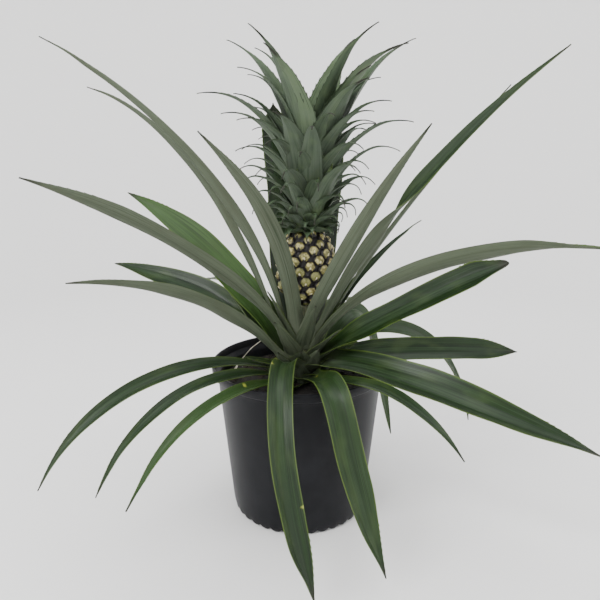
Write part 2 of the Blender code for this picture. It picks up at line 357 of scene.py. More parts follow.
def potProfile():
    # (radius, height) from the underside out, up the wall, over the lip and down the inside
    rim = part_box("pot")[1].x
    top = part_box("pot")[1].z
    foot = potValues["footRadius"]
    neck = potValues["neckRadius"]
    wall = potValues["wall"]
    lip = top - potValues["lipHeight"]
    groove = potValues["grooveDepth"]
    outside = [(20 * mm, 0.6 * mm), (foot - 9 * mm, 0.6 * mm), (foot - 7 * mm, 0), (foot - 1.2 * mm, 0)]
    outside += [(foot - 0.2 * mm, 1.2 * mm), (foot + 0.5 * mm, 5 * mm), (foot + 1.1 * mm, 9 * mm)]
    for share in (0.15, 0.3, 0.45, 0.6, 0.75, 0.88):
        outside.append((between(foot + 1.1 * mm, neck, share), between(9 * mm, lip - 7 * mm, share)))
    outside += [(neck, lip - 7 * mm), (neck + 0.3 * mm, lip - 4 * mm)]
    outside += [(rim - 3.4 * mm - groove, lip - 2 * mm), (rim - 3.2 * mm - groove, lip - 0.9 * mm)]
    outside += [(rim - 1.4 * mm, lip - 0.2 * mm)]
    outside += [(rim - 0.6 * mm, lip + 0.6 * mm), (rim, top - 1.6 * mm), (rim - 0.3 * mm, top - 0.5 * mm)]
    outside += [(rim - 1.1 * mm, top)]
    inside = [(rim - wall - 0.4 * mm, top - 0.3 * mm), (rim - wall - 1.0 * mm, top - 1.4 * mm)]
    inside += [(rim - wall - 2.0 * mm, lip + 1.5 * mm), (neck - wall - 0.2 * mm, lip - 1.0 * mm)]
    inside += [(neck - wall - 1.4 * mm, lip - 2.6 * mm), (neck - wall - 2 * mm, top - 30 * mm)]
    inside += [(foot - wall, 4 * mm), (foot - wall - 2 * mm, 3 * mm), (20 * mm, 3 * mm)]
    return outside + inside


def scallopFoot(pot):
    # the foot's edge rises and draws in between its scallops
    height = potValues["scallopHeight"]
    inner = potValues["footRadius"] - potValues["scallopBand"]
    for vertex in pot.data.vertices:
        if vertex.co.z > height or math.hypot(vertex.co.x, vertex.co.y) < inner:
            continue
        turn = math.atan2(vertex.co.y, vertex.co.x) * potValues["scallops"] / 2
        notch = 1 - abs(math.cos(turn)) ** 0.6
        low = 1 - vertex.co.z / height
        vertex.co.z += potValues["scallopDepth"] * notch * low
        squeeze = 1 - potValues["scallopPinch"] * notch * low
        vertex.co.x *= squeeze
        vertex.co.y *= squeeze


def drainCutter():
    drills = []
    for i in range(potValues["drains"]):
        turn = math.tau * (i + 0.5) / potValues["drains"]
        place = (potValues["drainCircle"] * math.cos(turn), potValues["drainCircle"] * math.sin(turn), 0)
        deselectAll()
        bpy.ops.mesh.primitive_cylinder_add(
            vertices=24, radius=potValues["drainRadius"], depth=12 * mm, location=place)
        drills.append(bpy.context.object)
    return joinInto(drills, "drain_cutter")


def blackPlastic():
    finish = Finish("potPlastic", 0.42, Specular_IOR_Level=0.13)
    place = finish.place()
    cloud = finish.grain(place, 22, 5, 0.6)
    fine = finish.grain(place, 900, 2)
    upright = finish.add("ShaderNodeMapping", {}, {"Vector": place, "Scale": (1, 1, 0.12)})
    smear = finish.grain(upright, 60, 4)
    dusty = finish.mix((0.0045, 0.0048, 0.0062), (0.011, 0.0115, 0.0135), cloud.stretch(0.35, 0.8))
    finish.colour(finish.mix(dusty, (0.028, 0.028, 0.029), smear.stretch(0.55, 0.85) * 0.30))
    finish.rough(0.30 + cloud * 0.14 + smear * 0.08)
    finish.bump(fine * 0.6 + cloud, 0.25, 0.0004)
    return finish


def makePot():
    pot = turned("nursery_pot", potValues["sides"], potProfile())
    scallopFoot(pot)
    cutter = drainCutter()
    applyModifier(pot, "BOOLEAN", operation="DIFFERENCE", solver="EXACT", object=cutter)
    bpy.data.objects.remove(cutter)
    smooth(pot, 40)
    dress(pot, "pot_plastic", blackPlastic())
    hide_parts("pot")


makePot()
print("pot made")


# the potting mix and what lies loose on it
soilValues = {
    "rings": 26,
    "sides": 120,
    "depth": 12 * mm,
    "lumps": 1.32 * mm,
    "heap": 1.5 * mm,
    "crumbs": 520,
    "chips": 90,
    "grit": 26,
    "edgeGap": 1.2 * mm,
}


def pottingMix(name, dark, light, scale):
    finish = Finish(name, 0.92)
    place = finish.place()
    cloud = finish.grain(place, scale, 6, 0.7)
    finish.colour(finish.mix(dark, light, cloud.stretch(0.4, 0.75)))
    finish.bump(finish.grain(place, scale * 4, 5, 0.7), 0.6, 0.0012)
    return finish


def crumbShape(name, size, squash):
    deselectAll()
    bpy.ops.mesh.primitive_ico_sphere_add(subdivisions=1, radius=size)
    crumb = nameNew(name)
    for vertex in crumb.data.vertices:
        vertex.co *= draw.uniform(0.6, 1.25)
        vertex.co.z *= squash
    return crumb


def scatter(shape, count, radius, top, sizes):
    # copies of one shape, turned every way and strewn over the mix
    made = []
    for i in range(count):
        turn = draw.uniform(0, math.tau)
        out = radius * math.sqrt(draw.uniform(0.06, 0.98))
        crumb = copyOf(shape, f"{shape.name}_{i}")
        spot = Vector((out * math.cos(turn), out * math.sin(turn), top + draw.uniform(-0.4, 1.0) * mm))
        spin = Matrix.Rotation(draw.uniform(0, math.tau), 4, "Z")
        spin = spin @ Matrix.Rotation(draw.uniform(-0.6, 0.6), 4, "X")
        crumb.data.transform(Matrix.Translation(spot) @ spin @ Matrix.Scale(draw.uniform(*sizes), 4))
        made.append(crumb)
    bpy.data.objects.remove(shape)
    return made


def makeSoil():
    low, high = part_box("soil")
    radius = high.x - soilValues["edgeGap"] / 2
    top = high.z - 1.5 * mm
    rings = soilValues["rings"]
    bottom = top - soilValues["depth"]
    profile = [(2 * mm, bottom), (radius - 1 * mm, bottom), (radius, top - 1 * mm)]
    profile += [(radius * (1 - (i / rings) ** 1.1 * 0.97), top) for i in range(rings + 1)]
    bed = turned("potting_mix", soilValues["sides"], profile)
    for vertex in bed.data.vertices:
        if vertex.co.z > top - 2 * mm:
            rough = noise.fractal(vertex.co * 90, 1.0, 2.0, 4)
            heap = soilValues["heap"] * eased(60 * mm, 20 * mm, math.hypot(vertex.co.x, vertex.co.y))
            vertex.co.z += soilValues["lumps"] * rough + heap
    smooth(bed, 60)
    dress(bed, "potting_mix", pottingMix("darkMix", (0.005, 0.004, 0.0035), (0.020, 0.016, 0.012), 160))
    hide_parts("soil")
    crumb = crumbShape("crumb", 1.3 * mm, 0.8)
    crumbs = scatter(crumb, soilValues["crumbs"], radius - 3 * mm, top, (0.5, 1.6))
    chip = crumbShape("chip", 3.2 * mm, 0.35)
    crumbs += scatter(chip, soilValues["chips"], radius - 5 * mm, top, (0.6, 1.5))
    loose = joinInto(crumbs, "bark_crumbs")
    dress(loose, "potting_mix", pottingMix("barkCrumbs", (0.010, 0.007, 0.005), (0.046, 0.030, 0.019), 120))
    speck = crumbShape("speck", 1.1 * mm, 0.9)
    specks = scatter(speck, soilValues["grit"], radius - 4 * mm, top, (0.5, 1.2))
    grit = joinInto(specks, "white_grit")
    dress(grit, "potting_mix", pottingMix("paleGrit", (0.12, 0.115, 0.10), (0.34, 0.33, 0.30), 400))


makeSoil()
print("soil made")


# each blade is drawn flat once, then laid along the model's own blade
rosetteValues = {
    "kind": "rosette",
    "rows": 96,
    "across": 10,
    "thickness": 0.95 * mm,
    "channel": 0.80,  # radians of curl at each margin
    "clasp": 1.05,  # the same at the foot
    "footGrowth": 0.40,  # how much wider the foot is than the rest
    "footReach": 34 * mm,
    "footWidth": 0.94,
    "fullBy": 0.40,  # share of the length at which it is at its widest
    "hook": 0.0,
    "threadFrom": 0.985,
    "tipEnd": 0.06,
    "tooth": 0.055,
    "toothEvery": 2,
    "toothFrom": 0.80,
    "wander": 0.5 * mm,  # how far a margin ripples
}
crownValues = {
    "kind": "crown",
    "rows": 44,
    "across": 8,
    "thickness": 0.75 * mm,
    "channel": 0.70,
    "clasp": 1.0,
    "footGrowth": 0.5,
    "footReach": 22 * mm,
    "footWidth": 0.9,
    "fullBy": 0.32,
    "threadFrom": 0.86,
    "tipEnd": 0.11,
    "hook": 7 * mm,
    "tooth": 0.07,
    "toothEvery": 2,
    "toothFrom": 0.25,
    "wander": 0.25 * mm,
}
growth = {
    "tipHalf": 0.28 * mm,
    "roll": 0.20,  # radians that a blade wanders about its own length
    "rollPace": 4.5,
    "ragged": 0.06,  # share of the width that comes and goes
    "raggedPace": 7,
    "ridge": 0.035,  # height of the lengthwise folds, as a share of half the width
    "ripplePace": 28,  # for each metre of margin
    "drift": 1.6 * mm,  # sideways, off the model's keel
    "driftPace": 3.2,
    "driftFrom": 0.08,
    "marginThin": 0.55,  # share of the thickness that is gone at the margins
    "tipCurl": 0.35,
    "tipCurlFrom": 0.75,
    "hookFrom": 0.70,
    "arcSteps": 14,
}


class Station:
    # a point on a blade's keel, the direction across it, half its width, and which way its margins stand up
    def __init__(self, place, side, half, lift=None):
        self.place = place
        self.side = side
        self.half = half
        self.lift = lift


def ringsOf(nodeName, heart):
    # the model's blade has six corners to a ring: walk from the tip to the foot
    work = bmesh.new()
    work.from_mesh(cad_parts[nodeName].data)
    bmesh.ops.remove_doubles(work, verts=work.verts, dist=1e-6)
    work.verts.index_update()
    tip = max(work.verts, key=lambda v: (v.co - heart).length)
    ring = sorted(work.verts, key=lambda v: ((v.co - tip.co).length, v.index))[:6]
    seen = set()
    rings = []
    while ring:
        rings.insert(0, [v.co.copy() for v in ring])
        seen.update(ring)
        ahead = {edge.other_vert(v) for v in ring for edge in v.link_edges} - seen
        ring = sorted(ahead, key=lambda v: v.index)
    work.free()
    return rings


def stationOf(ring):
    # two corners make each margin, and the last two the keel
    middle = sum(ring, Vector()) / len(ring)
    first = max(ring, key=lambda p: (p - middle).length)
    second = max(ring, key=lambda p: (p - first).length)
    margins = []
    rest = list(ring)
    for corner in (first, second):
        rest.remove(corner)
        mate = min(rest, key=lambda p: (p - corner).length)
        rest.remove(mate)
        margins.append((corner + mate) / 2)
    keel = sum(rest, Vector()) / len(rest)
    across = margins[1] - margins[0]
    lift = (margins[0] + margins[1]) / 2 - keel
    return Station(keel, across.normalized(), across.length / 2, lift)


def stationsOf(nodeName, heart):
    rings = ringsOf(nodeName, heart)
    stations = [stationOf(ring) for ring in rings]
    stations[-1].place = sum(rings[-1], Vector()) / len(rings[-1])
    stations[-1].half = 0.5 * mm
    stations[-1].side = stations[-2].side.copy()
    widest = max(range(len(stations) - 1), key=lambda i: stations[i].half)
    along = (stations[widest + 1].place - stations[max(widest - 1, 0)].place).normalized()
    if stations[widest].side.cross(along).dot(stations[widest].lift) < 0:
        stations[widest].side.negate()
    # the sides then agree with the widest station's, both ways from it
    for step in (1, -1):
        i = widest + step
        while 0 <= i < len(stations):
            if stations[i].side.dot(stations[i - step].side) < 0:
                stations[i].side.negate()
            i += step
    return stations


def arcStations(foot, heading, rise, fall, length, width):
    # a blade with no solid in the model: the bend comes late, as it does on the others
    count = growth["arcSteps"]
    place = foot.copy()
    stations = []
    outward = Vector((math.cos(heading), math.sin(heading), 0))
    side = Vector((math.sin(heading), -math.cos(heading), 0))
    for i in range(count + 1):
        s = i / count
        slope = math.radians(between(rise, fall, s ** 1.6))
        half = width / 2 * (1 - s ** 1.6) * between(0.45, 1, min(1, s / 0.25))
        stations.append(Station(place.copy(), side.copy(), max(half, 0.4 * mm)))
        place += (outward * math.cos(slope) + up * math.sin(slope)) * length / count
    return stations


def curveThrough(values, share):
    # Catmull-Rom through evenly spaced values
    last = len(values) - 1
    spot = min(max(share, 0.0), 1.0) * last
    i = min(int(spot), last - 1)
    t = spot - i
    a, b = values[max(i - 1, 0)], values[i]
    c, d = values[i + 1], values[min(i + 2, last)]
    square = (2 * a - 5 * b + 4 * c - d) * t * t
    cube = (3 * b - a - 3 * c + d) * t ** 3
    return 0.5 * (2 * b + (c - a) * t + square + cube)


def addTeeth(blade, values):
    # edges of the margin are drawn out and forward, each to a point
    rows = values["rows"]
    ahead = 1.6 / rows
    for side in (1, -1):

        def wanted(first, second):
            row = round((first.y + second.y + 2) / 4 * rows - 0.5)
            onMargin = min(first.x * side, second.x * side) > 0.999
            return onMargin and row % values["toothEvery"] == 0 and values["toothFrom"] < row / rows < 0.97

        startEditing(blade, "EDGE")
        pickEdges(blade, wanted)
        bpy.ops.mesh.extrude_edges_move(
            TRANSFORM_OT_translate={"value": (side * values["tooth"], ahead, 0)})
        bpy.ops.mesh.merge(type="COLLAPSE")
        bpy.ops.object.mode_set(mode="OBJECT")


def flatBlade(name, values):
    # x runs from -1 to 1 across the blade, y from -1 at the foot to 1 at the tip
    deselectAll()
    bpy.ops.mesh.primitive_grid_add(x_subdivisions=values["across"], y_subdivisions=values["rows"], size=2)
    blade = nameNew(name)
    addTeeth(blade, values)
    return blade


flatBlades = {values["kind"]: flatBlade("flat_blade", values) for values in (rosetteValues, crownValues)}


def widthShare(s, values, look):
    # narrow at the foot, full for a stretch, drawn in to a point and a thread
    swell = between(values["footWidth"], 1, eased(0, values["fullBy"], s))
    start = look.get("tipFrom", 0.5)
    end = values["threadFrom"]
    drawn = min(max((s - start) / (end - start), 0), 1)
    thread = look.get("tipEnd", values["tipEnd"]) * (1 - 0.8 * eased(end, 1, s))
    return swell * between(1, thread, drawn ** look.get("tipPower", 1.5))


def turnAt(s, look):
    # how far the blade has rolled about its own length by this point
    at, angle, reach = look.get("turn", (2.0, 0.0, 0.1))
    return look.get("twist", 0.0) * s + angle * eased(at, at + reach, s)


def keelAt(places, sides, s):
    # the keel's point, the way it runs, and the direction across it
    reach = 0.01
    along = (curveThrough(places, s + reach) - curveThrough(places, s - reach)).normalized()
    side = curveThrough(sides, s)
    return curveThrough(places, s), along, (side - along * side.dot(along)).normalized()


def curled(across, half, curl):
    # how far out and how high a point lies in a channel whose margins have turned by curl
    chord = math.sin(min(curl, 1.5))
    return half * math.sin(across * curl) / chord, half * (1 - math.cos(across * curl)) / chord


def layBlade(name, stations, values, look, finishes):
    # station by station, the flat blade is bent along its keel, curled, narrowed and rolled
    blade = copyOf(flatBlades[values["kind"]], name)
    places = [station.place for station in stations]
    sides = [station.side for station in stations]
    fullHalf = max(station.half for station in stations[:-1]) * look.get("wide", 1.0)
    length = sum((b - a).length for a, b in zip(places, places[1:]))
    seed = draw.uniform(0, 50)
    foot = places[0]
    lean = Matrix.Rotation(math.radians(look.get("lean", 0)), 3, "Y")
    hook = look.get("hook", values["hook"])
    sway = look.get("sway", 1.0)
    group = blade.vertex_groups.new(name="wall")
    spots = []
    for vertex in blade.data.vertices:
        across = vertex.co.x
        s = (vertex.co.y + 1) / 2
        place, along, side = keelAt(places, sides, s)
        wobble = noise.noise(Vector((s * growth["rollPace"], seed, 0))) * growth["roll"] * sway
        wobble += turnAt(s, look)
        side = Matrix.Rotation(wobble, 3, along) @ side
        upper = side.cross(along)
        base = eased(values["footReach"], 0, s * length)
        half = fullHalf * widthShare(s, values, look) * (1 + values["footGrowth"] * base)
        half *= 1 + growth["ragged"] * noise.noise(Vector((s * growth["raggedPace"], across * 0.6, seed + 9)))
        half = max(half, growth["tipHalf"])
        curl = between(values["channel"], values["clasp"], base)
        curl += growth["tipCurl"] * eased(growth["tipCurlFrom"], 1.0, s)
        spread, lift = curled(across, half, curl)
        ridge = growth["ridge"] * half * math.cos(across * math.tau * 1.5)
        ripple = noise.noise(Vector((s * length * growth["ripplePace"], across * 1.4, seed + 20)))
        ripple *= values["wander"] * abs(across)
        drift = Vector((0, 0, 0))
        if s > growth["driftFrom"]:
            drift = side * noise.noise(Vector((s * growth["driftPace"], seed + 31, 0)))
            drift *= growth["drift"] * sway
        drift -= upper * hook * max((s - growth["hookFrom"]) / (1 - growth["hookFrom"]), 0) ** 2
        spot = place + drift + side * spread + upper * (lift + ridge + ripple)
        vertex.co = foot + lean @ (spot - foot)
        group.add([vertex.index], 1 - growth["marginThin"] * min(abs(across), 1) ** 3, "REPLACE")
        spots.append(sum(eased(reach, 0, math.hypot((s - at) * length, (across - where) * half))
                         for at, where, reach in look.get("spots", ())))
    paintPoints(blade, "dust", [look["dust"]] * len(spots))
    paintPoints(blade, "tone", [look["tone"]] * len(spots))
    paintPoints(blade, "spot", spots)
    for finish in finishes:
        blade.data.materials.append(finish.material)
    applyModifier(blade, "SOLIDIFY", thickness=values["thickness"], offset=0.0, vertex_group="wall",
                  thickness_vertex_group=0.0, material_offset=1, use_even_offset=False)
    smooth(blade, 60)
    return blade


# one finish for the upper side of a blade, one for its outer side
def bladeFinish(name, roughness, look):
    finish = Finish(name, roughness, Specular_IOR_Level=look["shine"])
    u, v = finish.bladeAxes()
    dust = finish.attribute("dust")
    tone = finish.attribute("tone")
    edge = ((u - 0.5) * 2.0).distance()
    lines = finish.grain(finish.vector(u * look["lines"], v * 1.4, tone * 9.0), 1.0, 2.0)
    fine = finish.grain(finish.vector(u * look["lines"] * 3.2, v * 2.2, tone * 5.0), 1.0, 1.0)
    patches = finish.grain(finish.vector(u * 3.0, v * 11.0, tone * 7.0), 1.0, 5.0, 0.65)
    flecks = finish.grain(finish.vector(u * 26.0, v * 150.0, tone * 3.0), 1.0, 3.0, 0.7)
    green = finish.mix(look["dark"], look["green"], lines.stretch(0.3, 0.7))
    green = finish.mix(green, look["light"], tone.stretch(0.5, 1.0) * 0.8)
    veil = (dust * (0.55 + patches * 0.9) + (fine - 0.5) * 0.5).stretch(0.18, 0.95)
    body = finish.mix(green, look["bloom"], veil * look["cover"])
    body = finish.mix(body, look["bare"], flecks.stretch(0.64, 0.76) * 0.60 * dust)
    body = finish.mix(body, look["dark"], fine.stretch(0.54, 0.68) * 0.70)
    # pale streaks along the blade: partly the leaf's own lines, partly painted sheen
    body = finish.mix(body, look["streakAndPaintedSheen"], fine.stretch(0.44, 0.32) * 0.35)
    drifts = finish.grain(finish.vector(u * 2.0, v * 6.0, tone * 13.0 + 4.0), 1.0, 2.0)
    body = finish.mix(body, look["blush"], drifts.stretch(0.48, 0.72) * 0.55)
    # painted highlight: a lighter stripe is painted down the keel, the middle of the blade, where a sheen
    # would lie
    keel = edge.stretch(0.34, 0.02) * look["keel"]
    body = finish.mix(body, look["streakAndPaintedSheen"], keel * lines.stretch(0.25, 0.75))
    rim = (edge + (patches - 0.5) * 0.10).stretch(look["rimFrom"], 0.985)
    body = finish.mix(body, look["rim"], rim * look["rimShare"])
    foot = v.stretch(0.16, 0.0) * look["footShare"]
    body = finish.mix(body, look["foot"], foot)
    tip = (v + (patches - 0.5) * 0.05).stretch(look["tipAt"], look["tipAt"] + 0.06)
    body = finish.mix(body, look["tip"], tip * 0.85)
    body = finish.mix(body, look["spot"], finish.attribute("spot").stretch(0.2, 0.9))
    finish.colour(body)
    finish.rough(roughness + veil * 0.22 - keel * 0.06 + (flecks - 0.5) * 0.12)
    finish.bump(lines * 0.7 + fine * 0.45 + flecks * 0.25, look["bump"], 0.0006)
    return finish


# colours, and shares of the width (rimFrom) or length (tipAt) where they begin; the pale streak colour also
# serves as a painted highlight down the keel, and keel is that highlight's share
upperLook = {
    "lines": 15.0, "shine": 0.24, "bump": 0.50, "cover": 0.34, "keel": 0.26,
    "dark": (0.0040, 0.0110, 0.0026), "green": (0.0095, 0.0270, 0.0048), "light": (0.045, 0.100, 0.020),
    "bloom": (0.030, 0.046, 0.022), "bare": (0.006, 0.012, 0.004), "streakAndPaintedSheen": (0.040, 0.064, 0.036),
    "rim": (0.080, 0.130, 0.014), "rimFrom": 0.88, "rimShare": 0.65,
    "foot": (0.120, 0.150, 0.085), "footShare": 0.40, "tip": (0.016, 0.015, 0.010),
    "spot": (0.33, 0.36, 0.06), "tipAt": 0.93, "blush": (0.030, 0.052, 0.014),
}
outerLook = dict(
    upperLook, lines=13.0, shine=0.26, bump=0.55, blush=(0.054, 0.064, 0.038), cover=0.86, keel=0.15,
    dark=(0.016, 0.025, 0.011), green=(0.040, 0.060, 0.027), light=(0.074, 0.112, 0.042),
    bloom=(0.074, 0.090, 0.058), bare=(0.024, 0.032, 0.017), streakAndPaintedSheen=(0.108, 0.124, 0.092),
    rim=(0.050, 0.062, 0.030), rimFrom=0.93, rimShare=0.7, foot=(0.150, 0.172, 0.118), footShare=0.45)
crownUpperLook = dict(
    upperLook, lines=11.0, cover=0.75, keel=0.20, dark=(0.020, 0.038, 0.016), green=(0.042, 0.078, 0.030),
    light=(0.070, 0.130, 0.030), bloom=(0.090, 0.120, 0.080), tipAt=0.84, rim=(0.022, 0.034, 0.012),
    rimFrom=0.90, foot=(0.150, 0.220, 0.055), footShare=0.7, tip=(0.018, 0.015, 0.012))
crownOuterLook = dict(
    outerLook, lines=10.0, blush=(0.085, 0.120, 0.060), cover=0.85, keel=0.12, dark=(0.028, 0.046, 0.025),
    green=(0.055, 0.086, 0.042), light=(0.100, 0.165, 0.048), bloom=(0.098, 0.122, 0.092), tipAt=0.84,
    rim=(0.016, 0.024, 0.012), rimFrom=0.92,
    foot=(0.120, 0.185, 0.060), tip=(0.018, 0.015, 0.012))

leafFinishes = (bladeFinish("leafUpperSide", 0.36, upperLook),
                bladeFinish("leafOuterSide", 0.50, outerLook))
crownFinishes = (bladeFinish("crownUpperSide", 0.42, crownUpperLook),
                 bladeFinish("crownOuterSide", 0.52, crownOuterLook))


# the rosette
plainLook = {"dust": 0.55, "tone": 0.4, "tipFrom": 0.55}
# dust: how much grey bloom it wears; tone: from deep green to light; tipFrom: where it starts to narrow
# wide: its width against the model's; lean: degrees; twist: radians by the tip
# turn: where along it rolls over, how far, and over what stretch
# spots: where along and across each scar lies, and its reach
rosetteLooks = {
    "leaf_left_longest": {"wide": 0.72, "dust": 0.85, "tipFrom": 0.35},
    "leaf_left_arched": {"wide": 0.72, "dust": 0.80, "tipFrom": 0.35},
    "leaf_left_inner": {"wide": 0.74, "dust": 0.95, "tone": 0.3, "tipFrom": 0.6, "lean": 4.5},
    "leaf_left_spreading": {"wide": 0.62, "dust": 0.85, "tone": 0.55, "tipFrom": 0.72},
    "leaf_left_broad": {"wide": 1.12, "dust": 0.55, "tone": 1.0, "tipFrom": 0.6},
    "leaf_left_hooked": {"wide": 1.5, "dust": 0.15, "tone": 0.2, "tipFrom": 0.55},
    "leaf_left_level": {"wide": 0.76, "dust": 0.85, "tipFrom": 0.6, "twist": -0.35},
    "leaf_left_drooping": {"wide": 0.86, "dust": 0.45, "tone": 0.5},
    "leaf_left_hanging": {"wide": 0.88, "dust": 0.35, "tone": 0.5, "tipFrom": 0.5},
    "leaf_left_low": {"wide": 0.82, "dust": 0.20, "tone": 0.75, "tipFrom": 0.5,
                      "spots": ((0.33, 0.5, 4 * mm),)},
    "leaf_front_left": {"wide": 0.90, "dust": 0.35, "tone": 0.45, "tipFrom": 0.80, "tipPower": 2.0,
                        "spots": ((0.20, 0.9, 3 * mm), (0.26, 0.95, 3 * mm), (0.72, -0.95, 3 * mm))},
    "leaf_front_right": {"wide": 0.98, "dust": 0.30, "tone": 0.6, "tipFrom": 0.68,
                         "spots": ((0.13, -0.4, 4 * mm),)},
    "leaf_right_inner": {"wide": 0.74, "dust": 1.0, "tone": 0.5, "tipFrom": 0.45, "lean": 3.5},
    "leaf_right_longest": {"wide": 0.76, "dust": 0.75, "tipFrom": 0.5, "turn": (0.34, 1.9, 0.24)},
    "leaf_right_twin": {"dust": 0.70, "lean": 4.5, "wide": 0.6},
    "leaf_right_short": {"wide": 0.85, "dust": 0.10, "tone": 0.1, "tipFrom": 0.4},
    "leaf_right_arched": {"wide": 0.84, "dust": 0.95, "tone": 0.8, "tipFrom": 0.75, "turn": (0.62, 1.1, 0.3)},
    "leaf_right_broad": {"wide": 0.88, "dust": 0.25, "tone": 0.3, "tipFrom": 0.86,
                         "tipPower": 1.2, "tipEnd": 0.25},
    "leaf_right_level": {"wide": 1.12, "dust": 0.30, "tone": 0.4, "tipFrom": 0.78},
    "leaf_right_glossy": {"wide": 1.05, "dust": 0.30, "tone": 0.35, "tipFrom": 0.55},
    "leaf_right_under": {"wide": 0.7, "dust": 0.30},
    "leaf_right_trailing": {"wide": 1.6, "dust": 0.60, "tone": 0.6},
    "leaf_right_folded": {"wide": 2.0, "dust": 0.45, "tone": 0.7},
    # the two back leaves take the deepest green and almost no bloom: partly their own colour, partly painted
    # shade for where they stand behind the crown
    "leaf_back_left": {"dust": 0.15, "tone": 0.1, "tipFrom": 0.9},
    "leaf_back_right": {"dust": 0.15, "tone": 0.1, "tipFrom": 0.9},
}


def makeRosette():
    heart = Vector((0, 0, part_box("stem")[0].z))
    for name in sorted(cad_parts):
        if not name.startswith("leaf_"):
            continue
        look = dict(plainLook, **rosetteLooks.get(name, {}))
        blade = layBlade("blade_" + name[5:], stationsOf(name, heart), rosetteValues, look, leafFinishes)
        dress(blade, "leaf_green")
        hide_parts(name)


sheathValues = {
    "count": 21,
    "feet": (119 * mm, 160 * mm),
    "rise": (20, 74),
    "length": (40 * mm, 62 * mm),
    "width": (23 * mm, 17 * mm),
    "standOff": (17 * mm, 8 * mm),
}
tuckedValues = {
    "foot": (-16 * mm, 12 * mm, 146 * mm),
    "heading": 158,
    "rise": 40,
    "fall": 66,
    "length": 96 * mm,
    "width": 27 * mm,
}
frontBaseValues = {
    # heading in degrees and height of each foot
    "feet": ((-122, 124 * mm), (-62, 127 * mm), (-92, 119 * mm)),
    "standOff": 15 * mm,
    "rise": 66,
    "fall": 50,
    "length": 44 * mm,
    "width": 27 * mm,
}


def makeSheaths():
    # short young bases that fill the heart between the long leaves
    made = []
    for i in range(sheathValues["count"]):
        share = i / (sheathValues["count"] - 1)
        heading = 2.0 + i * goldenTurn
        out, height, rise, length, width = (
            between(*sheathValues[key], share) for key in ("standOff", "feet", "rise", "length", "width"))
        stations = arcStations(around(heading, out, height), heading, rise, rise - 12, length, width)
        look = {"dust": draw.uniform(0.6, 0.9), "tone": draw.uniform(0.4, 0.9), "tipFrom": 0.35, "sway": 0.5}
        made.append(layBlade(f"sheath_{i}", stations, rosetteValues, look, leafFinishes))
    dress(joinInto(made, "heart_sheaths"), "leaf_green")


def makeTuckedLeaf():
    # a short broad leaf behind the spreading one
    rise, fall, length, width = (tuckedValues[key] for key in ("rise", "fall", "length", "width"))
    heading = math.radians(tuckedValues["heading"])
    stations = arcStations(Vector(tuckedValues["foot"]), heading, rise, fall, length, width)
    look = {"dust": 0.9, "tone": 0.6, "tipFrom": 0.75, "tipPower": 2.5, "tipEnd": 0.3}
    leaf = layBlade("tucked_leaf", stations, rosetteValues, look, leafFinishes)
    dress(leaf, "leaf_green")


def makeFrontBases():
    # pale bases that clasp each other low at the front of the heart
    rise, fall, length, width = (frontBaseValues[key] for key in ("rise", "fall", "length", "width"))
    look = {"dust": 0.95, "tone": 0.5, "tipFrom": 0.30}
    made = []
    for i, (degrees, height) in enumerate(frontBaseValues["feet"]):
        heading = math.radians(degrees)
        foot = around(heading, frontBaseValues["standOff"], height)
        stations = arcStations(foot, heading, rise, fall, length, width)
        made.append(layBlade(f"front_base_{i}", stations, rosetteValues, look, leafFinishes))
    dress(joinInto(made, "front_bases"), "leaf_green")


makeRosette()
makeSheaths()
makeTuckedLeaf()
print("rosette made")


# the fruit
fruitValues = {
    "eyes": 104,
    "eyeRadius": 5.5 * mm,
    "eyeRise": 3.6 * mm,
    "bodyInset": 2.2 * mm,
    "rows": 26,
    "sides": 48,
    # each step up an eye: how much it narrows, and its share of the rise
    "eyeSteps": ((0.90, 0.42), (0.80, 0.30), (0.70, 0.22), (0.58, 0.10), (0.55, -0.08), (0.40, -0.05)),
    "eyeFoot": -1.0 * mm,
}


def middleOf(nodeName):
    low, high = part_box(nodeName)
    return (low + high) / 2


fruitMiddle = middleOf("fruit")
fruitAxis = (middleOf("crown_stem") - fruitMiddle).normalized()
fruitTurn = up.rotation_difference(fruitAxis).to_matrix().to_4x4()
fruitHalf = (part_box("fruit")[1].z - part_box("fruit")[0].z) / 2
fruitRadius = (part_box("fruit")[1].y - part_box("fruit")[0].y) / 2


def barrelRadius(share):
    # share runs from -1 at the bottom to 1 at the top
    return fruitRadius * math.sqrt(max(1 - abs(share) ** 2.8, 0.0)) * (1.0 - 0.03 * share)


def fruitSkin():
    finish = Finish("fruitSkin", 0.48, Specular_IOR_Level=0.45)
    place = finish.place()
    height = finish.attribute("height")
    ripe = finish.attribute("ripe")
    mottle = finish.grain(place, 260, 3, 0.6)
    sunlit = (mottle * 1.4 + height * 0.3).stretch(0.80, 1.12)
    gold = finish.mix((0.105, 0.090, 0.022), (0.42, 0.37, 0.15), sunlit)
    gold = finish.mix(gold, (0.075, 0.088, 0.018), ripe.stretch(0.2, 1.0) * 0.75)
    shade = finish.mix((0.007, 0.005, 0.005), gold, (height + (mottle - 0.5) * 0.5).stretch(0.36, 0.78))
    heart = finish.mix(shade, (0.170, 0.185, 0.030), finish.attribute("heart").stretch(0.4, 0.95) * 0.8)
    finish.colour(heart)
    finish.rough(0.40 + mottle * 0.25)
    finish.bump(mottle, 0.4, 0.0006)
    return finish


def bractSkin():
    finish = Finish("fruitBracts", 0.7)
    along = finish.attribute("height")
    mottle = finish.grain(finish.place(), 400, 3)
    pale = (along + mottle * 0.9).stretch(0.85, 1.25)
    finish.colour(finish.mix((0.012, 0.009, 0.007), (0.52, 0.47, 0.30), pale))
    return finish


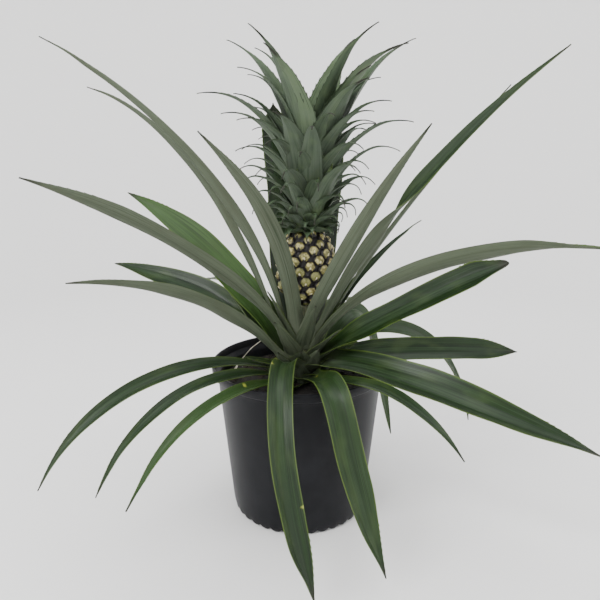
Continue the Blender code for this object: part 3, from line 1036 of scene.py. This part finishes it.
def eyeShape():
    # a six-sided boss with a sunken heart, drawn flat and raised
    radius = fruitValues["eyeRadius"]
    rise = fruitValues["eyeRise"]
    height = fruitValues["eyeFoot"]
    deselectAll()
    bpy.ops.mesh.primitive_circle_add(vertices=12, radius=radius, fill_type="NGON", location=(0, 0, height))
    eye = nameNew("eye")
    bpy.ops.object.transform_apply(location=True, rotation=True, scale=True)
    for vertex in eye.data.vertices:
        corner = math.cos(6 * math.atan2(vertex.co.y, vertex.co.x))
        vertex.co.x *= 1 + 0.05 * corner
        vertex.co.y *= 1 + 0.05 * corner
    startEditing(eye, "FACE")
    bpy.ops.mesh.select_all(action="SELECT")
    for ratio, lift in fruitValues["eyeSteps"]:
        height += lift * rise
        bpy.ops.mesh.extrude_region_move(TRANSFORM_OT_translate={"value": (0, 0, lift * rise)})
        bpy.ops.transform.resize(value=(ratio, ratio, 1), center_override=(0, 0, height))
    bpy.ops.mesh.select_all(action="SELECT")
    bpy.ops.mesh.normals_make_consistent(inside=False)
    bpy.ops.object.mode_set(mode="OBJECT")
    places = [vertex.co.copy() for vertex in eye.data.vertices]
    top = max(place.z for place in places)
    paintPoints(eye, "height", [eased(fruitValues["eyeFoot"], top, place.z) for place in places])
    paintPoints(eye, "heart", [max(1 - place.xy.length / (0.5 * radius), 0) for place in places])
    smooth(eye, 50)
    return eye


def bractShape():
    # a short pointed scale that rises over the lower part of an eye
    radius = fruitValues["eyeRadius"]
    deselectAll()
    bpy.ops.mesh.primitive_grid_add(x_subdivisions=4, y_subdivisions=5, size=2)
    bract = nameNew("bract")
    paintPoints(bract, "height", [(vertex.co.y + 1) / 2 for vertex in bract.data.vertices])
    for vertex in bract.data.vertices:
        s = (vertex.co.y + 1) / 2
        half = radius * 0.30 * (1 - s ** 1.3) + 0.15 * mm
        rise = 1.4 * mm + 2.4 * mm * s ** 0.7 - 0.5 * mm * abs(vertex.co.x)
        vertex.co = Vector((vertex.co.x * half, radius * (s * 0.8625 - 0.85), rise))
    applyModifier(bract, "SOLIDIFY", thickness=0.3 * mm, offset=0.0)
    smooth(bract, 50)
    return bract


def fruitPlaces():
    # the eyes' places, bottom to top, each with the direction it faces
    for i in range(fruitValues["eyes"]):
        share = -0.97 + 1.94 * (i + 0.5) / fruitValues["eyes"]
        radius = barrelRadius(share)
        slope = (barrelRadius(share + 0.02) - barrelRadius(share - 0.02)) / (0.04 * fruitHalf)
        turn = i * goldenTurn
        yield share, around(turn, 1, -slope).normalized(), around(turn, radius, share * fruitHalf)


def placeOnFruit(shape, name, spot, outward, size):
    across = up.cross(outward).normalized()
    upward = outward.cross(across)
    turn = Matrix((across, upward, outward)).transposed().to_4x4()
    thing = copyOf(shape, name)
    lean = Matrix.Translation(fruitMiddle) @ fruitTurn
    thing.data.transform(lean @ Matrix.Translation(spot - outward * fruitValues["bodyInset"] * 0.4) @ turn
                         @ Matrix.Diagonal((*size, 1)))
    return thing


def makeFruit():
    rows = fruitValues["rows"]
    inset = fruitValues["bodyInset"]
    shares = [-0.995 + 1.99 * i / rows for i in range(rows + 1)]
    profile = [(max(barrelRadius(s) - inset, 1.5 * mm), s * fruitHalf) for s in shares]
    body = turned("fruit_body", fruitValues["sides"], profile)
    body.data.transform(Matrix.Translation(fruitMiddle) @ fruitTurn)
    eye = eyeShape()
    bract = bractShape()
    eyes = []
    bracts = []
    for i, (share, outward, spot) in enumerate(fruitPlaces()):
        size = between(1.0, 0.62, abs(share) ** 3)
        wide = size * draw.uniform(0.95, 1.05)
        eyes.append(placeOnFruit(eye, f"eye_{i}", spot, outward, (wide, size * 0.94, size)))
        greenness = min(max(0.45 - 0.25 * share + draw.uniform(-0.45, 0.45), 0), 1)
        paintPoints(eyes[-1], "ripe", [greenness] * len(eyes[-1].data.vertices))
        bracts.append(placeOnFruit(bract, f"bract_{i}", spot, outward, (wide, size, size)))
    bpy.data.objects.remove(eye)
    bpy.data.objects.remove(bract)
    flesh = joinInto([body] + eyes, "fruit_eyes")
    smooth(flesh, 50)
    dress(flesh, "fruit_skin", fruitSkin())
    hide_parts("fruit")
    scales = joinInto(bracts, "fruit_bracts")
    dress(scales, "fruit_skin", bractSkin())


makeFruit()
print("fruit made")


# the crown
crownExtras = {
    # group: how many, lowest and highest foot above the fruit, rise, fall, length, width
    "skirt": (20, -1.5 * mm, 6 * mm, (38, 58), (-70, -25), (22 * mm, 36 * mm), (9 * mm, 12 * mm)),
    "ruff": (20, 4 * mm, 20 * mm, (52, 66), (-50, -15), (40 * mm, 66 * mm), (12 * mm, 16 * mm)),
    "inner": (16, 18 * mm, 40 * mm, (64, 72), (-20, 5), (60 * mm, 88 * mm), (17 * mm, 21 * mm)),
    "wing": (12, 36 * mm, 54 * mm, (70, 80), (12, 44), (92 * mm, 122 * mm), (24 * mm, 29 * mm)),
    "collar": (16, -5 * mm, -2 * mm, (15, 40), (-80, -50), (16 * mm, 23 * mm), (9 * mm, 11 * mm)),
}


def crownAxisAt(height):
    # the point on the crown's axis that far above the fruit
    top = fruitMiddle + fruitAxis * fruitHalf
    return top + fruitAxis * height


def fillCrown(group):
    # small leaves in a spiral, with no solids of their own in the model
    count, lowest, highest, rises, falls, lengths, widths = crownExtras[group]
    made = []
    for i in range(count):
        share = (i + 0.5) / count
        heading = 1.3 + i * goldenTurn + draw.uniform(-0.15, 0.15)
        if group == "wing":
            # these stand to either side, which leaves the crown parted in the middle
            heading = math.pi * (i % 2) + draw.uniform(-0.8, 0.8)
        height = between(lowest, highest, share)
        out = between(12.5 * mm, 5 * mm, min(max(height / (55 * mm), 0), 1))
        foot = crownAxisAt(height) + around(heading, out, 0)
        bend = (between(*rises, share) + draw.uniform(-5, 5), between(*falls, share) + draw.uniform(-10, 10))
        length = between(*lengths, share) * draw.uniform(0.9, 1.1)
        stations = arcStations(foot, heading, *bend, length, between(*widths, share))
        look = {"dust": draw.uniform(0.4, 0.7), "tone": draw.uniform(0.2, 0.6), "sway": 0.8, "tipFrom": 0.3}
        made.append(layBlade(f"{group}_{i}", stations, crownValues, look, crownFinishes))
    dress(joinInto(made, f"crown_{group}_leaves"), "crown_green")


def makeCrown():
    heart = crownAxisAt(0)
    for name in sorted(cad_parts):
        if not name.startswith("crown_leaf"):
            continue
        # the higher the number, the nearer the top: broader, and a fresher green
        number = int(name[-2:])
        look = {"dust": 0.62, "tone": 0.30 + 0.5 * eased(16, 24, number), "sway": 0.8, "tipFrom": 0.30}
        look["wide"] = between(1.5, 2.2, eased(10, 18, number))
        blade = layBlade("blade_" + name, stationsOf(name, heart), crownValues, look, crownFinishes)
        dress(blade, "crown_green")
        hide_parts(name)
    for group in crownExtras:
        fillCrown(group)


makeCrown()
print("crown made")


# the stem, the crown's core and the dry strip
def fibre(name, dark, light):
    finish = Finish(name, 0.6)
    upright = finish.add("ShaderNodeMapping", {}, {"Vector": finish.place(), "Scale": (1, 1, 0.15)})
    along = finish.grain(upright, 500, 4)
    finish.colour(finish.mix(dark, light, along.stretch(0.35, 0.7)))
    finish.bump(along, 0.5, 0.0006)
    return finish


def repaint(nodeName, finish):
    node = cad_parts[nodeName]
    node.data.materials.clear()
    node.data.materials.append(finish.material)


def makeStrip():
    # a dry sliver of leaf that lies over the mix
    straw = (fibre("dryStraw", (0.34, 0.31, 0.24), (0.62, 0.58, 0.48)),
             fibre("dryStrawBack", (0.30, 0.27, 0.20), (0.55, 0.51, 0.42)))
    strip = layBlade("dry_strip", stationsOf("dry_leaf_strip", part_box("dry_leaf_strip")[0]), crownValues,
                     {"dust": 1, "tone": 1, "hook": 0}, straw)
    dress(strip, "dry_straw")
    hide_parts("dry_leaf_strip")


repaint("stem", fibre("stemFibre", (0.10, 0.12, 0.06), (0.26, 0.28, 0.17)))
repaint("crown_stem", fibre("crownCore", (0.020, 0.032, 0.012), (0.06, 0.09, 0.03)))
makeFrontBases()
makeStrip()
for flat in flatBlades.values():
    bpy.data.objects.remove(flat)
print("front bases, stem, core and strip made")
